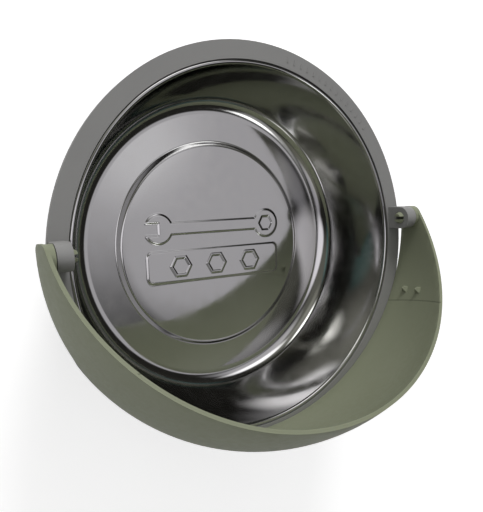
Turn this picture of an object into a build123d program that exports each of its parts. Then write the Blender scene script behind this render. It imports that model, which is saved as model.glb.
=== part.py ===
from build123d import *
from math import asin, cos, degrees, radians, sin, sqrt
import os

# Parts sorting tray: a steel bowl in a plastic ring, with a swinging guard and a magnet foot.
# Millimetres. Origin at the centre of the foot's bearing face, +Z up along the bowl's axis.
# The hinge runs along X. The guard rests on the ring's -Y side and swings over to +Y.

# ---- magnet foot, from the bench up ----
boot_floor = 1.6
boot_radius = 41.0
boot_height = 10.2
boot_edge_round = 1.0
boot_groove_radii = (31.0, 22.0)
boot_groove_width = 1.6
boot_groove_depth = 0.5
keeper_thickness = 1.2
keeper_radius = 38.0
keeper_bore = 20.3
magnet_thickness = 8.0
magnet_radius = 36.0
magnet_bore = 17.0
magnet_edge = 0.5
hub_flange_radius = 20.0
hub_radius = 16.8
hub_bore = 2.65
hub_pocket_radius = 8.0
hub_pocket_height = 4.6
pad_thickness = 0.8
pad_bore = 8.0
stud_radius = 2.5
stud_length = 9.6
stud_flange_radius = 3.6
stud_flange_height = 0.6
washer_radius = 5.0
washer_thickness = 1.0
nut_across_flats = 8.0
nut_height = 2.7

# ---- bowl ----
sheet = 0.6
disc_radius = 44.6
disc_rise = 1.5
step_slope = 40.0
step_crest = 2.0
step_root = 1.4
cove_start = 59.0
cove_radius = 8.5
cove_sweep = 65.0
wall_radius = 74.8
bead_radius = 1.1
bead_drop = 1.2
rim_above_disc = 34.5

# ---- badge pressed into the bowl's floor ----
badge_height = 0.35
badge_tilt = -2.0
panel_size = (68.0, 14.0)
panel_y = -8.5
panel_corner = 2.5
outline_height = 0.22
outline_line = 1.0
outline_apothem = 4.0
outline_spacing = 18.0
spanner_y = 8.5
spanner_shank = (52.0, 5.2)
spanner_head = 6.5
head_offset = 28.0
jaw_depth = 10.0
jaw_gap = 5.6
socket_apothem = 3.2

# ---- ring ----
ring_lip_radius = 75.85
ring_groove_radius = 76.1
ring_lip_height = 0.4
ring_radius = 83.1
ring_edge_height = 3.0
ring_edge_draft = 0.2
ring_edge_round = 0.8
skirt_radius = 78.6
collar_bore = 74.5
collar_radius = 77.2
collar_depth = 10.0
tick_count = 15
tick_spacing = 2.6
tick_start = 38.0
tick_long = 2.2
tick_wide = 0.7
tick_high = 0.2

# ---- hinge ----
pivot_y = 6.6
pivot_rise = 7.1
lug_radius = 5.0
lug_inner = 76.6
lug_outer = 82.0
pin_hole_radius = 2.25
pin_radius = 2.2
pin_slot = 1.4
pin_slot_depth = 4.8
barb_radius = 2.7
barb_tip_radius = 1.9
barb_length = 1.7
hinge_gap = 0.25

# ---- guard: part of a hollow ball between two planes ----
ball_centre_y = 7.7
ball_centre_rise = -1.2
ball_radius = 86.3
visor_wall = 1.4
front_tilt = 34.85
tab_radius = 4.9
tab_corner_round = 3.0
back_gap = 0.3
boss_root = 85.0
nub_base = 3.4
nub_height = 2.0
nub_taper = 34.0
nub_sink = 0.3
nub_places = ((-27.2, 9.0), (-26.3, 18.1))

# ---- worked out from the above ----
keeper_top = boot_floor + keeper_thickness
magnet_top = keeper_top + magnet_thickness
disc_under = magnet_top + pad_thickness
disc_top = disc_under + sheet
floor_top = disc_top - disc_rise
rim_z = disc_top + rim_above_disc
bead_z = rim_z - bead_drop
cove_z = floor_top + cove_radius
# the wall goes on from the cove in a much larger arc, up to the bead
wall_x = cove_start - (wall_radius - cove_radius) * sin(radians(cove_sweep))
wall_z = cove_z + (wall_radius - cove_radius) * cos(radians(cove_sweep))
pivot_z = rim_z + pivot_rise
ball_z = rim_z + ball_centre_rise
ball_bore = ball_radius - visor_wall
ball_centre = (0, ball_centre_y, ball_z)

os.makedirs("parts", exist_ok=True)


def write(part, name):
    """Label a finished piece and write its STEP file."""
    part.label = name
    export_step(part, f"parts/{name}.step")


def bowl_space(depth):
    """Half section, in XZ, of the space above the bowl's top surface lowered by `depth`."""
    crest = step_crest - depth
    root = step_root + depth
    cove = cove_radius + depth
    wall = wall_radius + depth
    low = floor_top - depth
    high = disc_top - depth
    slope_sin, slope_cos = sin(radians(step_slope)), cos(radians(step_slope))
    wall_end = -degrees(asin((wall_z - bead_z) / wall))
    # what the two step arcs leave of the rise is a straight slope
    straight = (disc_rise - (step_crest + step_root) * (1 - slope_cos)) / slope_sin
    step_end = disc_radius + (step_crest + step_root) * slope_sin + straight * slope_cos
    with BuildSketch(Plane.XZ) as space:
        with BuildLine():
            wall_foot = cove_sweep - 90
            wall_arc = CenterArc((wall_x, wall_z), wall, wall_foot, wall_end - wall_foot)
            Polyline(wall_arc @ 1, (0, bead_z), (0, high), (disc_radius, high))
            crest_arc = CenterArc((disc_radius, disc_top - step_crest), crest, 90, -step_slope)
            root_arc = CenterArc((step_end, floor_top + step_root), root, 270 - step_slope, step_slope)
            Line(crest_arc @ 1, root_arc @ 0)
            Line((step_end, low), (cove_start, low))
            CenterArc((cove_start, cove_z), cove, 270, cove_sweep)
        make_face()
    return space.sketch


def badge():
    """Raised badge on the floor: a panel with three nut outlines, and a spanner above it."""
    with BuildPart() as relief:
        with BuildSketch(Plane.XY.offset(disc_top).rotated((0, 0, badge_tilt))):
            with Locations((0, panel_y)):
                RectangleRounded(panel_size[0], panel_size[1], panel_corner)
            with Locations((0, spanner_y)):
                Rectangle(spanner_shank[0], spanner_shank[1])
            with Locations((-head_offset, spanner_y), (head_offset, spanner_y)):
                Circle(spanner_head)
            with Locations((-head_offset - jaw_depth / 2, spanner_y)):
                Rectangle(jaw_depth, jaw_gap, mode=Mode.SUBTRACT)
            with Locations((head_offset, spanner_y)):
                RegularPolygon(socket_apothem, 6, major_radius=False, mode=Mode.SUBTRACT)
        extrude(amount=badge_height)
        with BuildSketch(Plane.XY.offset(disc_top + badge_height).rotated((0, 0, badge_tilt))):
            with Locations((-outline_spacing, panel_y), (0, panel_y), (outline_spacing, panel_y)):
                RegularPolygon(outline_apothem + outline_line / 2, 6, major_radius=False)
                RegularPolygon(
                    outline_apothem - outline_line / 2, 6, major_radius=False, mode=Mode.SUBTRACT
                )
        extrude(amount=outline_height)
    return relief.part


with BuildPart() as dish:
    add(bowl_space(sheet))
    revolve(axis=Axis.Z)
    add(bowl_space(0))
    revolve(axis=Axis.Z, mode=Mode.SUBTRACT)
    # the rim is rolled outward into a round bead
    bead_x = wall_x + sqrt(wall_radius**2 - (wall_z - bead_z) ** 2) + bead_radius
    with BuildSketch(Plane.XZ):
        with Locations((bead_x, bead_z)):
            Circle(bead_radius)
    revolve(axis=Axis.Z)
    add(badge())
write(dish.part, "dish")

with BuildPart() as bezel_ring:
    with BuildSketch(Plane.XZ) as section:
        with BuildLine():
            edge_foot = ring_radius - ring_edge_draft
            shelf = bead_z - bead_radius
            Polyline(
                (ring_lip_radius, rim_z),
                (ring_radius, rim_z),
                (edge_foot, rim_z - ring_edge_height),
                (skirt_radius, rim_z - ring_edge_height),
                (collar_radius, rim_z - collar_depth),
                (collar_bore, rim_z - collar_depth),
                (collar_bore, shelf),
                (ring_groove_radius, shelf),
                (ring_groove_radius, rim_z - 2 * ring_lip_height),
                (ring_lip_radius, rim_z - ring_lip_height),
                (ring_lip_radius, rim_z),
            )
        make_face()
        outer_corner = section.vertices().sort_by_distance((ring_radius, 0, rim_z))[0]
        fillet(outer_corner, ring_edge_round)
    revolve(axis=Axis.Z)
    # on the resting side the flange stops flush with the outside of the guard
    with BuildSketch(Plane.XY.offset(rim_z)):
        with Locations((0, ball_centre_y)):
            Circle(ball_radius)
    extrude(amount=-collar_depth, mode=Mode.INTERSECT)
    for side in (-1, 1):
        lug_plane = Plane.YZ.offset(side * lug_inner)
        with BuildSketch(lug_plane):
            with Locations((pivot_y, pivot_z)):
                Circle(lug_radius)
            with Locations((pivot_y, pivot_z - pivot_rise / 2)):
                Rectangle(2 * lug_radius, pivot_rise)
            with Locations((pivot_y, pivot_z)):
                Circle(pin_hole_radius, mode=Mode.SUBTRACT)
        extrude(amount=side * (lug_outer - lug_inner))
    # plain raised ticks along the rim
    with BuildSketch(Plane.XY.offset(rim_z)):
        tick_radius = (ring_lip_radius + ring_radius) / 2
        with PolarLocations(tick_radius, tick_count, tick_start, tick_count * tick_spacing):
            Rectangle(tick_long, tick_wide)
    extrude(amount=tick_high)
write(bezel_ring.part, "bezel_ring")

with BuildPart() as visor:
    with Locations(ball_centre):
        Sphere(ball_radius)
        Sphere(ball_bore, mode=Mode.SUBTRACT)
    # side view: a wedge that ends in a round tab about the hinge
    with BuildSketch(Plane.YZ) as wedge:
        front_sin, front_cos = sin(radians(front_tilt)), cos(radians(front_tilt))
        reach = 2 * ball_radius
        rest_z = rim_z + back_gap
        with BuildLine():
            tab = CenterArc((pivot_y, pivot_z), tab_radius, 0, 90 - front_tilt)
            Polyline(
                tab @ 1,
                tab @ 1 + Vector(-reach * front_cos, reach * front_sin),
                (pivot_y - reach, rest_z),
                (pivot_y + tab_radius, rest_z),
                tab @ 0,
            )
        make_face()
        tab_corner = wedge.vertices().sort_by_distance((0, pivot_y + tab_radius, rest_z))[0]
        fillet(tab_corner, tab_corner_round)
    extrude(amount=ball_radius, both=True, mode=Mode.INTERSECT)
    for side in (-1, 1):
        # boss, pin and barb, turned about the hinge axis
        face = lug_outer + hinge_gap
        barb_end = lug_inner - hinge_gap - barb_length
        outline = (
            (boss_root, 0),
            (boss_root, tab_radius),
            (face, tab_radius),
            (face, pin_radius),
            (lug_inner - hinge_gap, pin_radius),
            (lug_inner - hinge_gap, barb_radius),
            (barb_end, barb_tip_radius),
            (barb_end, 0),
            (boss_root, 0),
        )
        with BuildSketch(Plane.XY.offset(pivot_z)):
            with BuildLine():
                Polyline([(side * along, pivot_y + out) for along, out in outline])
            make_face()
        revolve(axis=Axis((0, pivot_y, pivot_z), (1, 0, 0)))
        with BuildSketch(Plane.XY.offset(pivot_z)):
            with Locations((side * (barb_end + pin_slot_depth / 2), pivot_y)):
                Rectangle(pin_slot_depth, pin_slot)
        extrude(amount=2 * barb_radius, both=True, mode=Mode.SUBTRACT)
        for nub_y, nub_rise in nub_places:
            depth_y = nub_y - ball_centre_y
            depth_z = rim_z + nub_rise - ball_z
            depth_x = side * sqrt(ball_bore**2 - depth_y**2 - depth_z**2)
            outward = Vector(depth_x, depth_y, depth_z).normalized()
            root = Vector(*ball_centre) + outward * (ball_bore + nub_sink)
            with BuildSketch(Plane(origin=root, x_dir=(0, 0, 1), z_dir=-outward)):
                Rectangle(nub_base, nub_base)
            extrude(amount=nub_height + nub_sink, taper=nub_taper)
write(visor.part, "visor")

with BuildPart() as weld_stud:
    with BuildSketch(Plane.XY.offset(disc_under)):
        Circle(stud_flange_radius)
    extrude(amount=-stud_flange_height)
    with BuildSketch(Plane.XY.offset(disc_under)):
        Circle(stud_radius)
    extrude(amount=-stud_length)
write(weld_stud.part, "weld_stud")

with BuildPart() as foam_pad:
    with BuildSketch(Plane.XY.offset(magnet_top)):
        Circle(magnet_radius)
        Circle(pad_bore, mode=Mode.SUBTRACT)
    extrude(amount=pad_thickness)
write(foam_pad.part, "foam_pad")

with BuildPart() as ring_magnet:
    with BuildSketch(Plane.XY.offset(keeper_top)):
        Circle(magnet_radius)
        Circle(magnet_bore, mode=Mode.SUBTRACT)
    extrude(amount=magnet_thickness)
    chamfer(ring_magnet.edges().filter_by(GeomType.CIRCLE), magnet_edge)
write(ring_magnet.part, "ring_magnet")

with BuildPart() as magnet_hub:
    with BuildSketch(Plane.XY.offset(boot_floor)):
        Circle(hub_flange_radius)
    extrude(amount=keeper_thickness)
    with BuildSketch(Plane.XY.offset(keeper_top)):
        Circle(hub_radius)
    extrude(amount=magnet_thickness)
    with BuildSketch(Plane.XY.offset(boot_floor)):
        Circle(hub_pocket_radius)
    extrude(amount=hub_pocket_height, mode=Mode.SUBTRACT)
    with BuildSketch(Plane.XY.offset(boot_floor)):
        Circle(hub_bore)
    extrude(amount=magnet_top - boot_floor, mode=Mode.SUBTRACT)
write(magnet_hub.part, "magnet_hub")

with BuildPart() as keeper_plate:
    with BuildSketch(Plane.XY.offset(boot_floor)):
        Circle(keeper_radius)
        Circle(keeper_bore, mode=Mode.SUBTRACT)
    extrude(amount=keeper_thickness)
write(keeper_plate.part, "keeper_plate")

with BuildPart() as washer:
    with BuildSketch(Plane.XY.offset(boot_floor + hub_pocket_height)):
        Circle(washer_radius)
        Circle(hub_bore, mode=Mode.SUBTRACT)
    extrude(amount=-washer_thickness)
write(washer.part, "washer")

with BuildPart() as lock_nut:
    with BuildSketch(Plane.XY.offset(boot_floor + hub_pocket_height - washer_thickness)):
        RegularPolygon(nut_across_flats / 2, 6, major_radius=False)
        Circle(stud_radius, mode=Mode.SUBTRACT)
    extrude(amount=-nut_height)
write(lock_nut.part, "lock_nut")

with BuildPart() as rubber_boot:
    with BuildSketch(Plane.XY):
        Circle(boot_radius)
    extrude(amount=boot_height)
    with BuildSketch(Plane.XY.offset(keeper_top)):
        Circle(magnet_radius)
    extrude(amount=boot_height, mode=Mode.SUBTRACT)
    with BuildSketch(Plane.XY.offset(boot_floor)):
        Circle(keeper_radius)
    extrude(amount=keeper_thickness, mode=Mode.SUBTRACT)
    fillet(rubber_boot.edges().group_by(Axis.Z)[0], boot_edge_round)
    fillet(rubber_boot.edges().group_by(Axis.Z)[-1].sort_by(SortBy.LENGTH)[-1], boot_edge_round)
    with BuildSketch(Plane.XY):
        # outermost first, so that a later circle does not fill an earlier groove
        for groove_radius in boot_groove_radii:
            Circle(groove_radius + boot_groove_width / 2)
            Circle(groove_radius - boot_groove_width / 2, mode=Mode.SUBTRACT)
    extrude(amount=boot_groove_depth, mode=Mode.SUBTRACT)
write(rubber_boot.part, "rubber_boot")
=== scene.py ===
"""Looks of the parts sorting tray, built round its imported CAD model. Metres, CAD frame."""

import math

import bmesh
import bpy
from mathutils import Matrix, Vector


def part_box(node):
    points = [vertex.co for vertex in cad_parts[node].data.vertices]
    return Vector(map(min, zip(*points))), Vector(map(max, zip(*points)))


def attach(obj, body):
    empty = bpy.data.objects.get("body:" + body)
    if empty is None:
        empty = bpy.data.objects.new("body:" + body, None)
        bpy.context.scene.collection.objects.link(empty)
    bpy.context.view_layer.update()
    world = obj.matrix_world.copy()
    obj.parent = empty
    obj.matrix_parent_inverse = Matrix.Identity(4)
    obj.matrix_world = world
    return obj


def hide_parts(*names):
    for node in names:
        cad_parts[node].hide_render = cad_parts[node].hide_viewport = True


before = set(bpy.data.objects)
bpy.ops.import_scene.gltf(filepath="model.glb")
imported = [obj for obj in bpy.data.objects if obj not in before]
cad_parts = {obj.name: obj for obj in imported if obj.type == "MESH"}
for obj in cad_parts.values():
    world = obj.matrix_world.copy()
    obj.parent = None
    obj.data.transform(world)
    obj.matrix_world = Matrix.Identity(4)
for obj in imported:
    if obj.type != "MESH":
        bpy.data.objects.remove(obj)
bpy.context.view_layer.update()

MM = 0.001

# ---- ring and bowl, at the CAD model's sizes ----
PIVOT_RISE = 7.1 * MM  # the hinge line above the ring's face
LUG_RADIUS = 5.0 * MM
RIM_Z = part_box("bezel_ring")[1].z - PIVOT_RISE - LUG_RADIUS  # the ring's face
SHEET = 0.6 * MM
DISC_TOP = RIM_Z - 34.5 * MM
DISC_RADIUS = 44.6 * MM
DISC_RISE = 1.5 * MM
STEP_SLOPE = math.radians(40)
STEP_CREST = 2.0 * MM
STEP_ROOT = 1.4 * MM
COVE_START = 59.0 * MM
COVE_RADIUS = 8.5 * MM
COVE_SWEEP = math.radians(65)
WALL_RADIUS = 74.8 * MM
BEAD_RADIUS = 1.1 * MM
BEAD_Z = RIM_Z - 1.2 * MM
BEAD_FROM = 178  # degrees: the bead starts at the bowl's wall,
BEAD_TO = -118  # goes over the top and ends below the ring side

# ---- how finely the bowl is turned ----
ROUND_STEPS = 512
BEND_STEPS = 3
COVE_STEPS = 12
WALL_STEPS = 8
BEAD_STEPS = 36
INSIDE_FINENESS = 4
UNDERSIDE_FINENESS = 1

# ---- badge pressed into the disc ----
BADGE_REACH = 41 * MM
BADGE_STEP = 0.3 * MM

# The rest of the badge is in millimetres on the disc.
BADGE_TURN = math.radians(-2.0)
BADGE_HEIGHT = 0.35
BADGE_EDGE = 0.9
PANEL_Y = -8.5
PANEL_HALF = (34.0, 7.0)
PANEL_CORNER = 2.5
NUT_CENTRES = (-18.0, 0.0, 18.0)
NUT_APOTHEM = 4.0
NUT_LINE_HALF = 0.5
NUT_HEIGHT = 0.22
SPANNER_Y = 8.5
SPANNER_BAR_HALF = (26.0, 2.6)
SPANNER_BAR_CORNER = 0.5
SPANNER_HEAD_X = 28.0
SPANNER_HEAD_RADIUS = 6.5
SOCKET_APOTHEM = 3.2
JAW_X = -33.0
JAW_HALF = (5.0, 2.8)
JAW_CORNER = 0.4

# ---- guard ----
BALL_CENTRE = (0.0, 7.7 * MM, RIM_Z - 1.2 * MM)
BALL_RADIUS = 86.3 * MM
VISOR_WALL = 1.4 * MM
# The mould seam is a small step in bump only; the dark line drawn along it is painted shade.
SEAM_Y = -40.5 * MM
SEAM_LEAN = 0.15
SEAM_WIDTH = 0.35 * MM
SEAM_STEP = 0.06 * MM
SEAM_SHADE_STRENGTH = 0.75

# ---- edges of the CAD pieces ----
WELD_REACH = 0.001 * MM
EDGE_SEGMENTS = 3
EDGE_ANGLE = math.radians(38)
MOULDED_EDGE = 0.25 * MM
METAL_EDGE = 0.1 * MM
NUT_EDGE = 0.15 * MM

# ---- colours ----
STEEL_DARK = (0.565, 0.565, 0.57, 1)
STEEL_LIGHT = (0.62, 0.615, 0.61, 1)
STEEL_EDGE = (0.5, 0.5, 0.47, 1)
RING_GREY = (0.262, 0.260, 0.256, 1)
RING_FLECK = (0.278, 0.276, 0.270, 1)
VISOR_GREEN = (0.238, 0.257, 0.175, 1)
VISOR_FLECK = (0.254, 0.272, 0.190, 1)
# painted shade: the colour of the dark line drawn along the guard's mould seam
SEAM_PAINTED_SHADE = (0.06, 0.065, 0.04, 1)
ZINC = (0.66, 0.66, 0.64, 1)
KEEPER_STEEL = (0.6, 0.6, 0.59, 1)
FERRITE = (0.045, 0.045, 0.048, 1)
FOAM_BLACK = (0.03, 0.03, 0.03, 1)
HUB_BLACK = (0.02, 0.02, 0.02, 1)
RUBBER_BLACK = (0.022, 0.022, 0.022, 1)

# ---- table ----
FLOOR_HALF = 3.0
FLOOR_GLOW = 0.55

# ---- light ----
ROOM_TINT = (1.0, 0.98, 0.86)
ROOM_LOW = 0.04  # the room's brightness at the horizon
ROOM_HIGH = 0.02  # and from ROOM_TOP upward
ROOM_TOP = 0.6  # height on a dome of radius 1
MAP_EDGE = 0.05  # keeps the map of the sky finite straight down
DOME_FILL = 0.385
DOME_LEAN = (-0.3, 0.12)
BACKDROP = (0.93, 0.93, 0.93, 1)
KEY_PLACE = Vector((0.12, 0.95, 0.5))
KEY_TARGET = Vector((0, -0.02, 0.06))
KEY_SIZE = 0.3
KEY_POWER = 6.5

# ---- camera ----
CAMERA_PLACE = Vector((-0.1223, 0.0265, 0.2404))
CAMERA_TARGET = Vector((-0.0067, -0.00215, 0.04643))
CAMERA_ROLL = math.radians(3.6)
CAMERA_LENS = 39.33
CAMERA_SENSOR = 36
CAMERA_NEAR = 0.01
CAMERA_FAR = 20


# ------------------------------------------------------------------ node helpers


class Nodes:
    """A node tree with short calls for the nodes that the materials use."""

    def __init__(self, tree):
        self.tree = tree
        tree.nodes.clear()

    def add(self, kind, inputs=None, **settings):
        node = self.tree.nodes.new(kind)
        for name, value in settings.items():
            setattr(node, name, value)
        self.feed_all(node, inputs or {})
        return node

    def feed(self, socket, value):
        if isinstance(value, bpy.types.NodeSocket):
            self.tree.links.new(value, socket)
        else:
            socket.default_value = value

    def feed_all(self, node, inputs):
        for key, value in inputs.items():
            self.feed(node.inputs[key], value)

    def math(self, operation, *values):
        node = self.add("ShaderNodeMath", operation=operation)
        for socket, value in zip(node.inputs, values):
            self.feed(socket, value)
        return node.outputs[0]

    def vector_math(self, operation, inputs):
        """The outputs of a vector sum. A length is in "Value", the rest in "Vector"."""
        return self.add("ShaderNodeVectorMath", inputs, operation=operation).outputs

    def split(self, vector):
        """The three coordinates of a vector."""
        return self.add("ShaderNodeSeparateXYZ", {"Vector": vector}).outputs

    def join(self, x, y, z=0.0):
        return self.add("ShaderNodeCombineXYZ", {"X": x, "Y": y, "Z": z}).outputs[0]

    def noise(self, vector, scale, detail, roughness=0.5):
        inputs = {"Vector": vector, "Scale": scale, "Detail": detail, "Roughness": roughness}
        return self.add("ShaderNodeTexNoise", inputs).outputs["Fac"]

    def spread(self, value, low, high, to_low, to_high, kind="LINEAR"):
        inputs = {
            "Value": value,
            "From Min": low,
            "From Max": high,
            "To Min": to_low,
            "To Max": to_high,
        }
        return self.add("ShaderNodeMapRange", inputs, interpolation_type=kind).outputs["Result"]

    def mix(self, share, first, second):
        """A colour mix. Its sockets share names with other data types, so they go by number."""
        node = self.add("ShaderNodeMix", {0: share, 6: first, 7: second}, data_type="RGBA")
        return node.outputs[2]

    def bump(self, height, distance, normal=None):
        inputs = {"Height": height, "Distance": distance, "Strength": 1.0}
        if normal is not None:
            inputs["Normal"] = normal
        return self.add("ShaderNodeBump", inputs).outputs["Normal"]

    def point(self):
        """The point in the part's own frame, in metres."""
        return self.add("ShaderNodeTexCoord").outputs["Object"]


def material(name, build):
    """A material whose nodes `build(nodes, shader)` makes."""
    made = bpy.data.materials.new(name)
    made.use_nodes = True
    nodes = Nodes(made.node_tree)
    shader = nodes.add("ShaderNodeBsdfPrincipled")
    nodes.add("ShaderNodeOutputMaterial", {"Surface": shader.outputs[0]})
    build(nodes, shader)
    return made


def shaded(colour, factor):
    """A colour made darker or lighter, still opaque."""
    return tuple(factor * channel for channel in colour[:3]) + (1,)


# ------------------------------------------------------------------ materials


def build_polished_steel(nodes, shader):
    """Deep-drawn stainless: mirror polish with faint spinning lines and a slow waviness."""
    point = nodes.point()
    x, y, z = nodes.split(point)
    square = nodes.math("ADD", nodes.math("MULTIPLY", x, x), nodes.math("MULTIPLY", y, y))
    radius = nodes.math("SQRT", square)
    angle = nodes.math("ARCTAN2", y, x)
    lines_per_metre = 900.0
    spots_per_radian = 0.6
    spinning = nodes.join(
        nodes.math("MULTIPLY", radius, lines_per_metre),
        nodes.math("MULTIPLY", z, lines_per_metre),
        nodes.math("MULTIPLY", angle, spots_per_radian),
    )
    spun = nodes.noise(spinning, scale=1.0, detail=1.0)
    slow = nodes.noise(point, scale=42.0, detail=1.0)
    smear = nodes.noise(point, scale=180.0, detail=2.0)
    wavy = nodes.bump(slow, distance=0.05 * MM)
    inputs = {
        "Base Color": nodes.mix(smear, STEEL_DARK, STEEL_LIGHT),
        "Roughness": nodes.spread(smear, low=0.3, high=0.7, to_low=0.055, to_high=0.12),
        "Normal": nodes.bump(spun, distance=0.0004 * MM, normal=wavy),
        "Metallic": 1.0,
        "Specular Tint": STEEL_EDGE,
    }
    nodes.feed_all(shader, inputs)


def moulded(colour, fleck, grain, depth, roughness, seam_and_shade=None):
    """Moulded plastic: spark-eroded grain, slight colour drift and scuffs, and if asked a mould seam
    with painted shade along it.
    """

    def build(nodes, shader):
        point = nodes.point()
        pitted = nodes.noise(point, scale=1.0 / grain, detail=3.0, roughness=0.55)
        drift = nodes.noise(point, scale=30.0, detail=3.0)
        scuff = nodes.noise(point, scale=420.0, detail=5.0, roughness=0.7)
        tone = nodes.spread(drift, low=0.3, high=0.7, to_low=0.0, to_high=1.0)
        shade = nodes.mix(tone, colour, fleck)
        normal = nodes.bump(pitted, depth)
        if seam_and_shade:
            shade, normal = seam_and_shade(nodes, point, shade, normal)
        smooth, scuffed = roughness - 0.05, roughness + 0.06
        inputs = {
            "Base Color": shade,
            "Roughness": nodes.spread(scuff, low=0.35, high=0.65, to_low=smooth, to_high=scuffed),
            "Normal": normal,
            "Specular IOR Level": 0.42,
        }
        nodes.feed_all(shader, inputs)

    return build


def visor_seam_and_painted_shade(nodes, point, shade, normal):
    """The line across the inside of the guard where two parts of the mould met: a small step in bump,
    with a dark line of painted shade along it.
    """
    from_middle = nodes.vector_math("SUBTRACT", {0: point, 1: BALL_CENTRE})["Vector"]
    out = nodes.vector_math("LENGTH", {0: from_middle})["Value"]
    inside = nodes.math("LESS_THAN", out, BALL_RADIUS - 0.5 * VISOR_WALL)
    y, z = nodes.split(point)[1:]
    along = nodes.math("SUBTRACT", y, nodes.math("MULTIPLY", z, SEAM_LEAN))
    off = nodes.math("ABSOLUTE", nodes.math("SUBTRACT", along, SEAM_Y))
    line = nodes.spread(off, low=0.0, high=SEAM_WIDTH, to_low=SEAM_SHADE_STRENGTH, to_high=0.0)
    step = nodes.spread(along, low=SEAM_Y - SEAM_WIDTH, high=SEAM_Y, to_low=1.0, to_high=0.0)
    # painted shade: a dark line along the seam, on the inside of the guard only
    shade = nodes.mix(nodes.math("MULTIPLY", line, inside), shade, SEAM_PAINTED_SHADE)
    return shade, nodes.bump(nodes.math("MULTIPLY", step, inside), SEAM_STEP, normal)


def metal(colour, roughness, scale):
    """Plated or bare metal with a fine, uneven surface."""

    def build(nodes, shader):
        cloud = nodes.noise(nodes.point(), scale, detail=4.0, roughness=0.6)
        smooth, rough = roughness - 0.06, roughness + 0.08
        inputs = {
            "Base Color": nodes.mix(cloud, shaded(colour, 0.82), colour),
            "Roughness": nodes.spread(cloud, low=0.3, high=0.7, to_low=smooth, to_high=rough),
            "Normal": nodes.bump(cloud, distance=0.02 * MM),
            "Metallic": 1.0,
        }
        nodes.feed_all(shader, inputs)

    return build


def dull(colour, roughness, scale, depth):
    """Rubber, foam, ferrite or black plastic: dull, with a fine grain."""

    def build(nodes, shader):
        cloud = nodes.noise(nodes.point(), scale, detail=5.0, roughness=0.6)
        smooth, rough = roughness - 0.08, roughness + 0.08
        inputs = {
            "Base Color": nodes.mix(cloud, colour, shaded(colour, 1.5)),
            "Roughness": nodes.spread(cloud, low=0.3, high=0.7, to_low=smooth, to_high=rough),
            "Normal": nodes.bump(cloud, depth),
        }
        nodes.feed_all(shader, inputs)

    return build


def build_floor(nodes, shader):
    """Matt white table that looks to the camera as if it were lit a little from below."""
    cloud = nodes.noise(nodes.point(), scale=12.0, detail=3.0)
    seen = nodes.add("ShaderNodeLightPath").outputs["Is Camera Ray"]
    inputs = {
        "Base Color": nodes.mix(cloud, (0.86, 0.86, 0.86, 1), (0.9, 0.9, 0.9, 1)),
        "Roughness": 0.8,
        "Specular IOR Level": 0.1,
        "Emission Color": (1, 1, 1, 1),
        "Emission Strength": nodes.math("MULTIPLY", seen, FLOOR_GLOW),
    }
    nodes.feed_all(shader, inputs)


# ------------------------------------------------------------------ bowl


def box_distance(x, y, half, corner):
    """Signed distance from a rounded rectangle centred on zero, negative inside."""
    dx, dy = abs(x) - half[0] + corner, abs(y) - half[1] + corner
    return math.hypot(max(dx, 0), max(dy, 0)) + min(max(dx, dy), 0) - corner


def hexagon_distance(x, y, apothem):
    """Signed distance from a regular hexagon with a flat side on top, negative inside."""
    turns = (math.radians(a) for a in (30, 90, 150))
    return max(abs(x * math.cos(a) + y * math.sin(a)) for a in turns) - apothem


def spanner_distance(x, y):
    """Signed distance from the spanner: a bar, an open end to the left, a hexagon end to the right."""
    bar = box_distance(x, y, SPANNER_BAR_HALF, SPANNER_BAR_CORNER)
    heads = math.hypot(abs(x) - SPANNER_HEAD_X, y) - SPANNER_HEAD_RADIUS
    jaw = box_distance(x - JAW_X, y, JAW_HALF, JAW_CORNER)
    socket = hexagon_distance(x - SPANNER_HEAD_X, y, SOCKET_APOTHEM)
    return max(min(bar, heads), -jaw, -socket)


def nuts_distance(x, y):
    """Distance from the outlines of the three nuts, negative on their lines."""
    outlines = (abs(hexagon_distance(x - centre, y, NUT_APOTHEM)) for centre in NUT_CENTRES)
    return min(outlines) - NUT_LINE_HALF


def pressed(distance):
    """Height share of a pressed shape: 1 well inside it, 0 outside, with a soft shoulder."""
    t = min(max(0.5 - distance / BADGE_EDGE, 0), 1)
    return t * t * (3 - 2 * t)


def badge_height(disc_x, disc_y):
    """Height in metres of the pressed badge at a point of the disc given in millimetres."""
    x = disc_x * math.cos(BADGE_TURN) + disc_y * math.sin(BADGE_TURN)
    y = disc_y * math.cos(BADGE_TURN) - disc_x * math.sin(BADGE_TURN)
    panel = pressed(box_distance(x, y - PANEL_Y, PANEL_HALF, PANEL_CORNER))
    spanner = pressed(spanner_distance(x, y - SPANNER_Y))
    nuts = pressed(nuts_distance(x, y - PANEL_Y))
    return (BADGE_HEIGHT * max(panel, spanner) + NUT_HEIGHT * nuts) * MM


def arc(centre, radius, start, end, steps):
    """Points (r, z) on an arc from angle `start` to `end`, in degrees."""
    angles = (math.radians(start + (end - start) * i / steps) for i in range(steps + 1))
    return [(centre[0] + radius * math.cos(a), centre[1] + radius * math.sin(a)) for a in angles]


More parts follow.
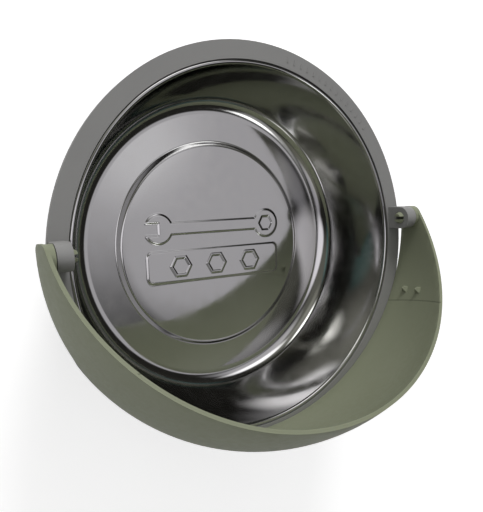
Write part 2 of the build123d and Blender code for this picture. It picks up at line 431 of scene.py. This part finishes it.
def bowl_line(depth, fineness):
    """The bowl's surface from the disc's edge to the bead, lowered by `depth` square to the sheet."""
    floor_z = DISC_TOP - DISC_RISE
    slope = math.degrees(STEP_SLOPE)
    bends = STEP_CREST + STEP_ROOT
    rise_left = DISC_RISE - bends * (1 - math.cos(STEP_SLOPE))
    step_end = DISC_RADIUS + bends * math.sin(STEP_SLOPE) + rise_left / math.tan(STEP_SLOPE)
    bend_steps = BEND_STEPS * fineness
    crest_centre = (DISC_RADIUS, DISC_TOP - STEP_CREST)
    root_centre = (step_end, floor_z + STEP_ROOT)
    line = arc(crest_centre, STEP_CREST - depth, 90, 90 - slope, bend_steps)
    line += arc(root_centre, STEP_ROOT + depth, 270 - slope, 270, bend_steps)
    cove_centre = (COVE_START, floor_z + COVE_RADIUS)
    foot = 270 + math.degrees(COVE_SWEEP)
    line += arc(cove_centre, COVE_RADIUS + depth, 270, foot, COVE_STEPS * fineness)
    wall_centre = (
        cove_centre[0] - (WALL_RADIUS - COVE_RADIUS) * math.sin(COVE_SWEEP),
        cove_centre[1] + (WALL_RADIUS - COVE_RADIUS) * math.cos(COVE_SWEEP),
    )
    top = 360 - math.degrees(math.asin((wall_centre[1] - BEAD_Z) / (WALL_RADIUS + depth)))
    line += arc(wall_centre, WALL_RADIUS + depth, foot, top, WALL_STEPS * fineness)[1:]
    return line


def bowl_profile():
    """Closed half section of the bowl: top side out from the axis, round the bead, underside back."""
    badge_rows = int(BADGE_REACH / BADGE_STEP) + 1
    disc = [(i * BADGE_STEP, DISC_TOP) for i in range(badge_rows)]
    inside = bowl_line(0.0, INSIDE_FINENESS)
    bead_centre = (inside[-1][0] + BEAD_RADIUS, BEAD_Z)
    bead = arc(bead_centre, BEAD_RADIUS, BEAD_FROM, BEAD_TO, BEAD_STEPS)
    underside = bowl_line(SHEET, UNDERSIDE_FINENESS)[::-1]
    return disc + inside + bead + underside + [(0.0, DISC_TOP - SHEET)]


def turned_row(built, r, z):
    """One ring of points about Z, lifted where the badge is, or a single point on the axis."""
    if r == 0.0:
        return [built.verts.new((0, 0, z))]
    row = []
    for i in range(ROUND_STEPS):
        a = math.tau * i / ROUND_STEPS
        x, y = r * math.cos(a), r * math.sin(a)
        on_badge = z == DISC_TOP and r <= BADGE_REACH
        up = badge_height(x / MM, y / MM) if on_badge else 0.0
        row.append(built.verts.new((x, y, z + up)))
    return row


def turned_bowl():
    """The bowl as one closed mesh turned about Z."""
    mesh = bpy.data.meshes.new("bowl")
    built = bmesh.new()
    rows = [turned_row(built, r, z) for r, z in bowl_profile()]
    for inner, outer in zip(rows, rows[1:]):
        for i in range(ROUND_STEPS):
            j = (i + 1) % ROUND_STEPS
            corners = [inner[0]] if len(inner) == 1 else [inner[i], inner[j]]
            corners += [outer[0]] if len(outer) == 1 else [outer[j], outer[i]]
            built.faces.new(corners)
    bmesh.ops.recalc_face_normals(built, faces=built.faces)
    for face in built.faces:
        face.smooth = True
    built.to_mesh(mesh)
    built.free()
    made = bpy.data.objects.new("bowl", mesh)
    bpy.context.scene.collection.objects.link(made)
    return made


bowl = turned_bowl()
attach(bowl, "tray")
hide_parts("dish")
bowl.data.materials.append(material("polished_steel", build_polished_steel))


# ------------------------------------------------------------------ carried-over CAD pieces


def finish_node(node, made, edge):
    """Gives a CAD node its material, and rounds its edges by `edge` metres."""
    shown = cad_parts[node]
    shown.data.materials.clear()
    shown.data.materials.append(made)
    weld = shown.modifiers.new("weld", "WELD")
    weld.merge_threshold = WELD_REACH
    if edge:
        bevel = shown.modifiers.new("round", "BEVEL")
        bevel.width = edge
        bevel.segments = EDGE_SEGMENTS
        bevel.limit_method = "ANGLE"
        bevel.angle_limit = EDGE_ANGLE
        bevel.harden_normals = True


ring_plastic = moulded(RING_GREY, RING_FLECK, grain=0.35 * MM, depth=0.012 * MM, roughness=0.46)
visor_plastic = moulded(
    VISOR_GREEN,
    VISOR_FLECK,
    grain=0.4 * MM,
    depth=0.01 * MM,
    roughness=0.44,
    seam_and_shade=visor_seam_and_painted_shade,
)
ferrite = dull(FERRITE, roughness=0.6, scale=500.0, depth=0.04 * MM)
foam = dull(FOAM_BLACK, roughness=0.85, scale=900.0, depth=0.1 * MM)
hub_plastic = dull(HUB_BLACK, roughness=0.45, scale=600.0, depth=0.01 * MM)
boot_rubber = dull(RUBBER_BLACK, roughness=0.62, scale=700.0, depth=0.02 * MM)
keeper_steel = metal(KEEPER_STEEL, roughness=0.38, scale=220.0)

finish_node("bezel_ring", material("ring_plastic", ring_plastic), MOULDED_EDGE)
finish_node("visor", material("visor_plastic", visor_plastic), MOULDED_EDGE)
zinc_steel = material("zinc_steel", metal(ZINC, roughness=0.32, scale=300.0))
finish_node("weld_stud", zinc_steel, METAL_EDGE)
finish_node("washer", zinc_steel, METAL_EDGE)
finish_node("lock_nut", zinc_steel, NUT_EDGE)
finish_node("keeper_plate", material("keeper_steel", keeper_steel), METAL_EDGE)
finish_node("ring_magnet", material("ferrite", ferrite), 0)
finish_node("foam_pad", material("foam", foam), 0)
finish_node("magnet_hub", material("hub_plastic", hub_plastic), METAL_EDGE)
finish_node("rubber_boot", material("boot_rubber", boot_rubber), 0)


# ------------------------------------------------------------------ floor, light and camera


def square_floor():
    """The table top at z = 0."""
    mesh = bpy.data.meshes.new("floor")
    turns = ((-1, -1), (1, -1), (1, 1), (-1, 1))
    corners = [(x * FLOOR_HALF, y * FLOOR_HALF, 0) for x, y in turns]
    mesh.from_pydata(corners, [], [(0, 1, 2, 3)])
    mesh.materials.append(material("floor_white", build_floor))
    made = bpy.data.objects.new("floor", mesh)
    bpy.context.scene.collection.objects.link(made)
    return made


floor = square_floor()


# What the polished bowl mirrors: soft patches of light on the dome overhead.
# Each is (centre, half sizes, turn in degrees, softness, colour times brightness), on a map of
# the sky where straight up is (0, 0) and the horizon is a circle of radius 1.
LIGHT_PATCHES = {
    "overhead": ((-0.12, 0.0), (0.20, 0.085), 8, 0.35, (1.02, 0.99, 1.04)),
    "overhead_near": ((-0.13, -0.175), (0.12, 0.08), 0, 0.4, (0.38, 0.37, 0.4)),
    "ceiling": ((0.235, 0.0), (0.115, 0.13), 0, 0.25, (0.50, 0.49, 0.51)),
    "ceiling_lamp": ((0.18, 0.05), (0.05, 0.05), 0, 0.7, (0.25, 0.25, 0.25)),
    "ceiling_far": ((0.11, 0.27), (0.17, 0.13), 0, 0.4, (0.55, 0.54, 0.56)),
    "strip_far": ((0.10, 0.45), (0.17, 0.09), -10, 0.45, (1.7, 1.68, 1.7)),
    "ceiling_near": ((0.10, -0.28), (0.08, 0.16), 0, 0.4, (0.38, 0.38, 0.37)),
    "lamp_near": ((0.155, -0.25), (0.055, 0.06), 0, 0.4, (2.4, 2.4, 2.4)),
    "grey_wall": ((-0.18, -0.30), (0.2, 0.12), 0, 0.5, (0.15, 0.15, 0.12)),
    "dim_ceiling": ((-0.30, 0.22), (0.33, 0.20), 20, 0.5, (0.13, 0.13, 0.11)),
    "window_glow": ((-0.22, 0.5), (0.32, 0.16), 20, 0.5, (0.22, 0.22, 0.19)),
    "window": ((-0.40, 0.66), (0.19, 0.12), 32, 0.5, (2.8, 2.8, 2.7)),
    "teal_wall": ((-0.62, 0.1), (0.08, 0.22), 0, 0.5, (0.03, 0.09, 0.09)),
}


def add_light(nodes, total, colour, share):
    """The sky so far with `share` of a colour added."""
    light = nodes.vector_math("SCALE", {0: colour, "Scale": share})["Vector"]
    return nodes.vector_math("ADD", {0: total, 1: light})["Vector"]


def mirrored_room(nodes, x, y, z):
    """The dim room with the patches of light on it, by direction."""
    depth = nodes.math("MAXIMUM", nodes.math("ADD", z, 1.0), MAP_EDGE)
    flat = nodes.join(nodes.math("DIVIDE", x, depth), nodes.math("DIVIDE", y, depth))
    room = nodes.spread(z, low=0.0, high=ROOM_TOP, to_low=ROOM_LOW, to_high=ROOM_HIGH)
    total = nodes.vector_math("SCALE", {0: ROOM_TINT, "Scale": room})["Vector"]
    for centre, half, turn, soft, colour in LIGHT_PATCHES.values():
        inputs = {
            "Vector": flat,
            "Location": (*centre, 0),
            "Rotation": (0, 0, math.radians(turn)),
            "Scale": (*half, 1),
        }
        local = nodes.add("ShaderNodeMapping", inputs, vector_type="TEXTURE").outputs[0]
        away = nodes.vector_math("LENGTH", {0: local})["Value"]
        share = nodes.spread(away, 1 - soft, 1 + soft, 1.0, 0.0, "SMOOTHSTEP")
        total = add_light(nodes, total, colour, share)
    return total


def studio_world():
    """The room for mirror reflections, an even dome for matt surfaces, and a pale backdrop."""
    world = bpy.data.worlds.new("studio")
    world.use_nodes = True
    nodes = Nodes(world.node_tree)
    direction = nodes.add("ShaderNodeTexCoord").outputs["Generated"]
    x, y, z = nodes.split(direction)
    lean_x = nodes.math("MULTIPLY", x, DOME_LEAN[0])
    lean_y = nodes.math("MULTIPLY", y, DOME_LEAN[1])
    level = nodes.math("ADD", nodes.math("ADD", lean_x, lean_y), 1.0)
    dome = nodes.math("MULTIPLY", level, DOME_FILL)
    path = nodes.add("ShaderNodeLightPath").outputs
    seen = nodes.mix(path["Is Diffuse Ray"], mirrored_room(nodes, x, y, z), dome)
    seen = nodes.mix(path["Is Camera Ray"], seen, BACKDROP)
    background = nodes.add("ShaderNodeBackground", {"Color": seen, "Strength": 1.0})
    nodes.add("ShaderNodeOutputWorld", {"Surface": background.outputs[0]})
    return world


bpy.context.scene.world = studio_world()


def key_light():
    """A square soft box that mirrors don't show, because the patches stand in for it there."""
    data = bpy.data.lights.new("key", "AREA")
    data.shape = "SQUARE"
    data.size = KEY_SIZE
    data.energy = KEY_POWER
    made = bpy.data.objects.new("key", data)
    made.location = KEY_PLACE
    made.rotation_mode = "QUATERNION"
    made.rotation_quaternion = (KEY_TARGET - KEY_PLACE).to_track_quat("-Z", "Y")
    made.visible_glossy = False
    bpy.context.scene.collection.objects.link(made)


def set_camera():
    """The camera over the bowl, with the CAD frame's Y upward in the picture and then rolled."""
    camera = bpy.data.objects.new("camera", bpy.data.cameras.new("camera"))
    bpy.context.scene.collection.objects.link(camera)
    forward = (CAMERA_TARGET - CAMERA_PLACE).normalized()
    level = forward.cross(Vector((0, 1, 0))).normalized()
    upward = level.cross(forward)
    right = level * math.cos(CAMERA_ROLL) - upward * math.sin(CAMERA_ROLL)
    over = upward * math.cos(CAMERA_ROLL) + level * math.sin(CAMERA_ROLL)
    axes = Matrix((right, over, -forward)).transposed()
    camera.rotation_mode = "QUATERNION"
    camera.rotation_quaternion = axes.to_quaternion()
    camera.location = CAMERA_PLACE
    camera.data.lens = CAMERA_LENS
    camera.data.sensor_width = CAMERA_SENSOR
    camera.data.clip_start = CAMERA_NEAR
    camera.data.clip_end = CAMERA_FAR
    bpy.context.scene.camera = camera


key_light()
set_camera()
bpy.context.scene.view_settings.view_transform = "Standard"
